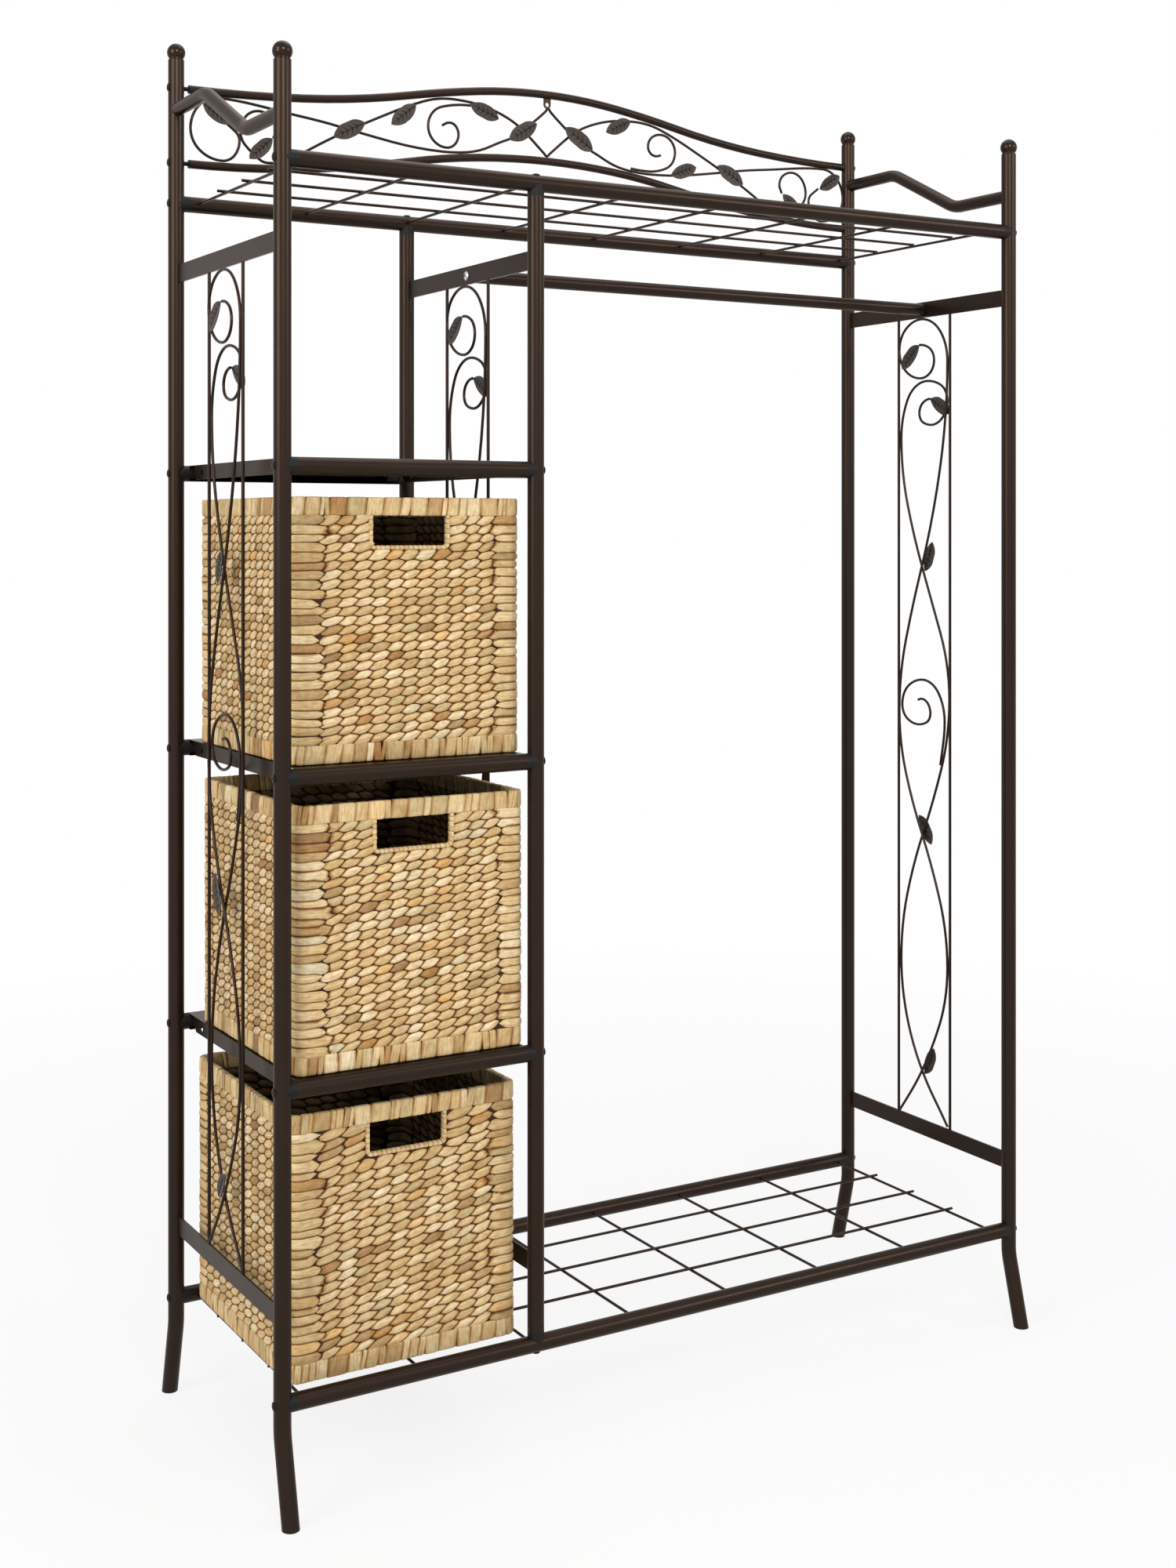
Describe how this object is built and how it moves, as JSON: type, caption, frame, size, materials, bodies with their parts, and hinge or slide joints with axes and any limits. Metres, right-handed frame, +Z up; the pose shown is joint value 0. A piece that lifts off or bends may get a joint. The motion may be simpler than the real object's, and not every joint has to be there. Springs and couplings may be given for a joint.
{
  "type": "open wardrobe stand with baskets",
  "caption": "Free-standing tube-frame clothes stand with a hanging rail, wire shelves, a scrollwork gallery and woven pull-out baskets on sheet shelves.",
  "frame": {"origin": "on the floor, under the middle of the stand's bounding box", "axes": "+X runs from the basket bay towards the hanging bay, +Y towards the gallery at the back, +Z up"},
  "size_m": [1.2044, 0.4688, 1.882],
  "materials": {
    "bronze_paint": "satin",
    "bronze_finial": "satin",
    "black_plastic": "matte",
    "black_bolt": "satin",
    "bright_screw": "gloss",
    "woven_plant_fibre": "matte"
  },
  "bodies": {
    "frame": {"ball_finials": "bronze_finial", "bottom_back_rail": "bronze_paint", "bottom_front_rail": "bronze_paint", "bottom_wire_shelf": "bronze_paint", "clothes_rail": "bronze_paint", "clothes_rail_plugs": "black_plastic", "clothes_rail_screws": "bright_screw", "foot_plugs": "black_plastic", "frame_bolts": "black_bolt", "gallery_bolts": "black_bolt", "gallery_crown_vine": "bronze_paint", "gallery_end_plugs": "black_plastic", "gallery_foot_vine": "bronze_paint", "gallery_leaves": "bronze_paint", "gallery_lower_tube": "bronze_paint", "gallery_spirals": "bronze_paint", "gallery_upper_tube": "bronze_paint", "gallery_wall_eye": "bronze_paint", "left_back_post": "bronze_paint", "left_front_post": "bronze_paint", "left_lower_bar": "bronze_paint", "left_panel_leaves": "bronze_paint", "left_panel_rods": "bronze_paint", "left_panel_scrolls": "bronze_paint", "left_upper_bar": "bronze_paint", "left_wave_handle": "bronze_paint", "lower_shelf": "bronze_paint", "middle_back_post": "bronze_paint", "middle_front_post": "bronze_paint", "middle_lower_bar": "bronze_paint", "middle_panel_leaves": "bronze_paint", "middle_panel_rods": "bronze_paint", "middle_panel_scrolls": "bronze_paint", "middle_post_end_pieces": "black_plastic", "middle_shelf": "bronze_paint", "middle_upper_bar": "bronze_paint", "rail_end_pieces": "black_plastic", "right_back_post": "bronze_paint", "right_front_post": "bronze_paint", "right_lower_bar": "bronze_paint", "right_panel_leaves": "bronze_paint", "right_panel_rods": "bronze_paint", "right_panel_scrolls": "bronze_paint", "right_upper_bar": "bronze_paint", "right_wave_handle": "bronze_paint", "shelf_bolts": "black_bolt", "shelf_end_pieces": "black_plastic", "top_back_rail": "bronze_paint", "top_front_rail": "bronze_paint", "top_wire_shelf": "bronze_paint", "upper_shelf": "bronze_paint"},
    "upper_basket": {"upper_basket_rim": "woven_plant_fibre", "upper_basket_walls": "woven_plant_fibre"},
    "middle_basket": {"middle_basket_rim": "woven_plant_fibre", "middle_basket_walls": "woven_plant_fibre"},
    "lower_basket": {"lower_basket_rim": "woven_plant_fibre", "lower_basket_walls": "woven_plant_fibre"}
  },
  "joints": [
    {"name": "upper_basket_slide", "type": "slide", "parent": "frame", "child": "upper_basket", "axis": [0, -1, 0], "range_m": [0, 0.4]},
    {"name": "middle_basket_slide", "type": "slide", "parent": "frame", "child": "middle_basket", "axis": [0, -1, 0], "range_m": [0, 0.4]},
    {"name": "lower_basket_lift", "type": "slide", "parent": "frame", "child": "lower_basket", "axis": [0, 0, 1], "range_m": [0, 0.02]}
  ]
}
